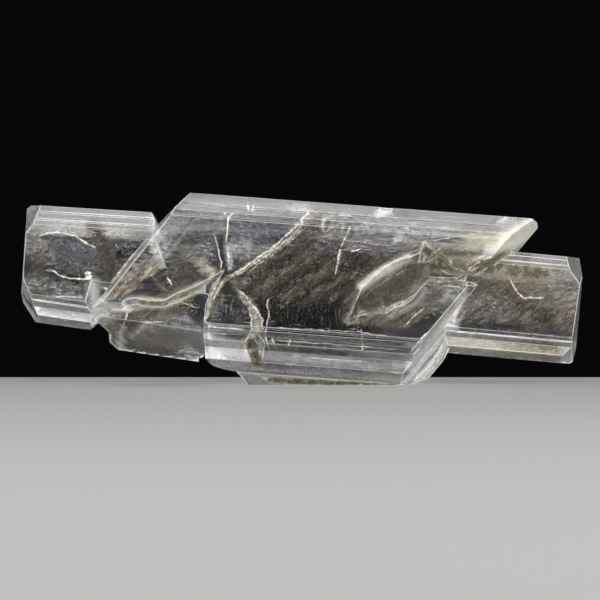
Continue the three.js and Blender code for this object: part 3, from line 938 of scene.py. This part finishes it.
def add_crack(shapes, rng, points, widths, tone, deep, slant):
    """A blade with a ragged front: its rim is under the surface and its back is slanted."""
    path, share, across = sampled(points, CRACK_STEP)
    wander = np.convolve(rng.normal(0, CRACK_WANDER, len(path) + 4), np.ones(5) / 5, "valid")
    path = path + across * wander[:, None]
    taper = np.minimum(1, np.minimum(share, 1 - share) * CRACK_TAPER + BLUNT_END)
    uneven = np.convolve(rng.uniform(*CRACK_WIDTHS, len(path) + 2), np.ones(3) / 3, "valid")
    half = np.interp(share, (0, 1), widths) * 0.5 * taper * uneven
    rows = []
    for place, side, reach in zip(path, across, half):
        front = front_depth(*place)
        if front is None:
            continue
        back = place + slant
        row = [
            seen(*(place - side * reach), front + SKIN_GAP, front),
            seen(*place, front + SKIN_GAP, front),
            seen(*(place + side * reach), front + SKIN_GAP, front),
            seen(*back, front + SKIN_GAP + deep, front),
        ]
        if all(is_inside(point, CRACK_GAP) for point in row):
            rows.append(row)
    if len(rows) < 2:
        return
    faces = [(3, 2, 1, 0)]
    for k in range(len(rows) - 1):
        low = 4 * k
        faces += [(low + a, low + (a + 1) % 4, low + 4 + (a + 1) % 4, low + 4 + a) for a in range(4)]
    last = 4 * (len(rows) - 1)
    faces.append((last, last + 1, last + 2, last + 3))
    covers = np.array([CRACK_COVERS] * len(rows)) * rng.uniform(*COVER_SPREAD, (len(rows), 1))
    tones = tone * CRACK_TONE + np.repeat(rng.normal(0, CRACK_TONES, len(rows)), 4)
    shapes.add([point for row in rows for point in row], faces, tones, covers.ravel())


# Swarms of small closed slivers. Each has its points and width in pixels, its count, the longest length in
# millimetres, the tone and, where they differ, how broad the slivers are for their length and their cover

CLAY_SWARMS = [
    ([(240, 282), (300, 262), (352, 240)], 34, 900, 0.9, 0.45),
    ([(262, 292), (320, 282), (372, 258)], 26, 900, 0.9, 0.4),
    ([(238, 276), (270, 257), (303, 228)], 8, 500, 0.6, 0.55),
    ([(372, 300), (395, 288), (415, 270)], 24, 500, 0.8, 0.45),
    ([(350, 318), (400, 316), (440, 300)], 16, 200, 0.8, 0.5),
    ([(428, 262), (470, 262), (505, 252)], 10, 260, 0.5, 0.5),
    ([(465, 285), (540, 290)], 44, 700, 0.6, 0.55),
    ([(526, 320), (545, 345)], 20, 400, 0.6, 0.55),
    ([(530, 282), (546, 274)], 22, 260, 0.5, 0.5),
    ([(95, 230), (106, 252), (112, 275)], 16, 380, 0.6, 0.55),
    ([(158, 298), (185, 276)], 24, 380, 0.6, 0.5),
    ([(130, 336), (150, 318), (165, 306)], 16, 300, 0.6, 0.45),
    ([(128, 347), (190, 355)], 12, 180, 0.6, 0.45),
    ([(60, 250), (90, 262)], 20, 160, 0.5, 0.45),
]

FLECK_SWARMS = [
    ([(190, 204), (300, 208), (385, 214)], 15, 190, 0.35, 0.95),
    ([(180, 232), (212, 250)], 30, 90, 0.2, 0.85),
    ([(236, 222), (290, 228)], 18, 70, 0.25, 0.9),
    ([(254, 262), (292, 236)], 7, 90, 0.2, 0.85),
    ([(257, 268), (275, 278)], 12, 90, 0.2, 0.8),
    ([(205, 262), (214, 282)], 10, 70, 0.22, 0.8),
    ([(300, 250), (348, 236)], 18, 90, 0.2, 0.8),
    ([(328, 301), (338, 297)], 6, 30, 0.3, 0.9),
    ([(182, 314), (200, 304)], 14, 110, 0.28, 0.85),
    ([(120, 250), (129, 241)], 9, 44, 0.35, 0.9),
    ([(528, 350), (546, 342)], 20, 150, 0.28, 0.95),
    ([(465, 292), (476, 300)], 8, 24, 0.22, 0.9),
    ([(110, 300), (160, 300)], 16, 70, 0.25, 0.85),
    ([(280, 358), (400, 364)], 16, 110, 0.3, 0.85),
    ([(170, 340), (198, 350)], 14, 40, 0.3, 0.9),
    ([(60, 240), (90, 256)], 24, 60, 0.2, 0.8),
    ([(380, 236), (430, 246)], 12, 60, 0.22, 0.8),
    ([(170, 225), (300, 232), (420, 244), (500, 240)], 60, 1500, 0.2, 0.85),
    ([(110, 320), (200, 335)], 50, 500, 0.2, 0.8),
    ([(210, 345), (400, 362)], 50, 900, 0.2, 0.85),
    ([(56, 230), (140, 240)], 40, 500, 0.2, 0.85),
    ([(56, 300), (90, 305)], 40, 300, 0.2, 0.85),
    ([(455, 270), (545, 280)], 50, 500, 0.2, 0.8),
    ([(455, 330), (545, 340)], 40, 400, 0.2, 0.8),
    ([(240, 280), (350, 262), (430, 285)], 40, 700, 0.18, 0.8),
]
FIBRE_SWARMS = [
    ([(170, 215), (300, 214)], 34, 240, 1.6, 0.55, 0.03, 0.6),
    ([(300, 222), (520, 232)], 34, 420, 2.2, 0.6, 0.025, 0.6),
    ([(236, 250), (262, 248)], 18, 40, 1.4, 0.6, 0.04, 0.65),
    ([(340, 246), (400, 248)], 10, 40, 2.0, 0.65, 0.025, 0.7),
    ([(215, 350), (400, 362)], 44, 420, 2.2, 0.6, 0.025, 0.65),
    ([(60, 218), (150, 224)], 30, 160, 1.8, 0.6, 0.03, 0.65),
    ([(58, 300), (86, 304)], 30, 60, 1.6, 0.65, 0.03, 0.7),
    ([(455, 345), (540, 350)], 24, 140, 1.8, 0.65, 0.03, 0.7),
    ([(470, 290), (540, 300)], 60, 90, 1.6, 0.45, 0.03, 0.6),
]
UPRIGHT_SWARMS = [
    ([(270, 310), (400, 322)], 40, 90, 2.2, 0.0, 0.03, 0.5),
    ([(212, 310), (244, 310)], 28, 26, 2.2, 0.35, 0.03, 0.55),
    ([(58, 286), (90, 288)], 12, 30, 1.6, 0.45, 0.03, 0.55),
    ([(110, 345), (200, 352)], 20, 60, 1.4, 0.5, 0.04, 0.6),
    ([(290, 362), (400, 372)], 12, 90, 1.4, 0.75, 0.03, 0.6),
]

SLIVER = np.array([(1, 0, 0), (0, 1, 0), (-1, 0, 0), (0, -1, 0), (0, 0, 1), (0, 0, -1)], float)
SLIVER_FACES = [(0, 1, 4), (1, 2, 4), (2, 3, 4), (3, 0, 4), (1, 0, 5), (2, 1, 5), (3, 2, 5), (0, 3, 5)]
SLIVER_GAP = 0.01
COUNTED_LENGTH = 0.3
SLIVER_ROOM = 0.6  # share of its half length, counted up to there, that a sliver's middle needs around it
SWARM_EDGE = 2.6  # a swarm's width in standard deviations
LENGTHS = (0.25, 1.0)
BREADTHS = (0.5, 1.5)
THICKNESSES = (0.4, 1.3)
CORNERS = (0.7, 1.3)
UPRIGHT = C_AXIS + math.radians(90)
LOOSE = 0.35  # how far slivers stray from their angle, in radians
STRICT = 0.01
TONES = 0.2

# Depths under the surface, in millimetres
CLAY_DEPTHS = (0.3, 5.0)
DEEP_CLAY_DEPTHS = (5.0, 16.0)
DEEP_CLAY_SWARMS = 4
FLECK_DEPTHS = (0.1, 1.2)
FIBRE_DEPTHS = (0.1, 0.9)


def add_swarm(shapes, rng, depths, angle, stray, points, width, count, longest, tone, thin=0.3, cover=1.0):
    """Slivers strewn along a broken line, each longest at about an angle of the front view."""
    path, _, across = sampled(points, 1.0)
    for _ in range(count):
        k = rng.integers(len(path))
        place = path[k] + across[k] * rng.normal(0, width / SWARM_EDGE)
        front = front_depth(*place)
        depth = rng.uniform(*depths)
        if front is None:
            continue
        middle = seen(*place, front + depth, front)
        length = longest * rng.uniform(*LENGTHS) / 2
        if not is_inside(middle, min(length, COUNTED_LENGTH) * SLIVER_ROOM + SKIN_GAP):
            continue
        turn = angle + rng.normal(0, stray)
        breadth = thin * rng.uniform(*BREADTHS)
        thickness = thin * rng.uniform(*THICKNESSES)
        corners = SLIVER * (length * np.array([1, breadth, thickness])) * rng.uniform(*CORNERS, (6, 1))
        x = corners[:, 0] * math.cos(turn) - corners[:, 2] * math.sin(turn)
        z = corners[:, 0] * math.sin(turn) + corners[:, 2] * math.cos(turn)
        own_tone = tone + rng.normal(0, TONES)
        sliver = middle + np.stack([x, corners[:, 1], z], axis=1)
        if all(is_inside(point, SLIVER_GAP) for point in sliver):
            shapes.add(sliver, SLIVER_FACES, own_tone, cover)


def add_clay(rng):
    """Brown clay: films on inner planes and loose slivers round them."""
    shapes = Shapes()
    for number, film in enumerate(CLAY_FILMS):
        add_film(shapes, number, *film)
    material = inclusion("clay_film", CLAY_COLOURS, DIAGONAL, (0.35, 1.2, 1.5), (0.1, 0.95), 1.3, 2.8)
    shapes.build("clay_films", material)
    slivers = Shapes()
    for swarm in CLAY_SWARMS:
        add_swarm(slivers, rng, CLAY_DEPTHS, DIAGONAL, LOOSE, *swarm)
    for swarm in CLAY_SWARMS[:DEEP_CLAY_SWARMS]:
        add_swarm(slivers, rng, DEEP_CLAY_DEPTHS, DIAGONAL, LOOSE, *swarm)
    slivers.build("clay_slivers", inclusion("clay_sliver", CLAY_COLOURS))


def add_healed_cracks(rng):
    """White and cream veils of fine bubbles, with dark sheets of painted shade among them, the healed
    cracks, and small flecks.
    """
    veils = Shapes()
    for number, film in enumerate(VEILS_AND_PAINTED_SHADE):
        add_film(veils, number + VEILS_FROM, *film)
    material = inclusion("veil", VEIL_AND_PAINTED_SHADE_COLOURS, C_AXIS, (0.45, 1.0, 1.3), (-0.05, 1.0), 1.9, 2.8)
    veils.build("veils", material)
    cracks = Shapes()
    for crack in CRACKS:
        add_crack(cracks, rng, *crack)
    material = inclusion("healed_crack", HEALED_COLOURS, alpha_range=(0.2, 1.0), scale=1.7, contrast=2.3)
    cracks.build("healed_cracks", material)
    flecks = Shapes()
    for swarm in FLECK_SWARMS:
        add_swarm(flecks, rng, FLECK_DEPTHS, C_AXIS, LOOSE, *swarm)
    for swarm in FIBRE_SWARMS:
        add_swarm(flecks, rng, FIBRE_DEPTHS, C_AXIS, STRICT, *swarm)
    for swarm in UPRIGHT_SWARMS:
        add_swarm(flecks, rng, FIBRE_DEPTHS, UPRIGHT, STRICT, *swarm)
    flecks.build("flecks", inclusion("fleck", HEALED_COLOURS))


# Stage, in metres

FLOOR_SIZE = (1.2, 0.42)
FLOOR_BACK = 0.045
FLOOR_COLOUR = (0.36, 0.355, 0.35, 1)
WORLD_COLOUR = (0.0022, 0.0022, 0.0024, 1)
AIM = (0, 0, 0.016)
LIGHTS = [
    ("top_softbox", (-0.05, 0.08, 0.42), (0.5, 0.35), 0.75),
    ("left_softbox", (-0.38, -0.30, 0.20), (0.3, 0.3), 1.7),
    ("right_softbox", (0.38, -0.30, 0.20), (0.3, 0.3), 1.85),
    ("front_fill", (0.05, -0.50, 0.34), (0.3, 0.2), 1.5),
]


def add_stage():
    bpy.ops.mesh.primitive_grid_add(x_subdivisions=2, y_subdivisions=2, size=1)
    floor = bpy.context.object
    floor.name = "floor"
    floor.scale = (*FLOOR_SIZE, 1)
    floor.location = (0, FLOOR_BACK - FLOOR_SIZE[1] / 2, 0)
    n = Nodes("pale_floor")
    shader = n.principled(Base_Color=FLOOR_COLOUR, Roughness=0.75)
    n.put(shader.outputs[0], n.out.inputs["Surface"])
    floor.data.materials.append(n.material)


def add_light(name, location, size, power):
    data = bpy.data.lights.new(name, "AREA")
    data.shape = "RECTANGLE"
    data.size, data.size_y = size
    data.energy = power
    light = bpy.data.objects.new(name, data)
    light.location = location
    direction = Vector(AIM) - Vector(location)
    light.rotation_euler = direction.to_track_quat("-Z", "Y").to_euler()
    light.visible_camera = False
    bpy.context.scene.collection.objects.link(light)


def add_lights():
    for light in LIGHTS:
        add_light(*light)
    world = bpy.data.worlds.new("dark studio")
    world.use_nodes = True
    world.node_tree.nodes["Background"].inputs["Color"].default_value = WORLD_COLOUR
    bpy.context.scene.world = world


def set_light_paths():
    """Light passes many faces inside the crystal before it is lost."""
    cycles = bpy.context.scene.cycles
    cycles.max_bounces = 20
    cycles.transmission_bounces = 20
    cycles.transparent_max_bounces = 32
    cycles.diffuse_bounces = 4


CLAY_SEED = 11
CRACK_SEED = 23

bpy.context.scene.view_settings.view_transform = "Standard"
add_camera()
set_light_paths()
add_stage()
add_lights()
add_crystal()
add_clay(np.random.default_rng(CLAY_SEED))
add_healed_cracks(np.random.default_rng(CRACK_SEED))
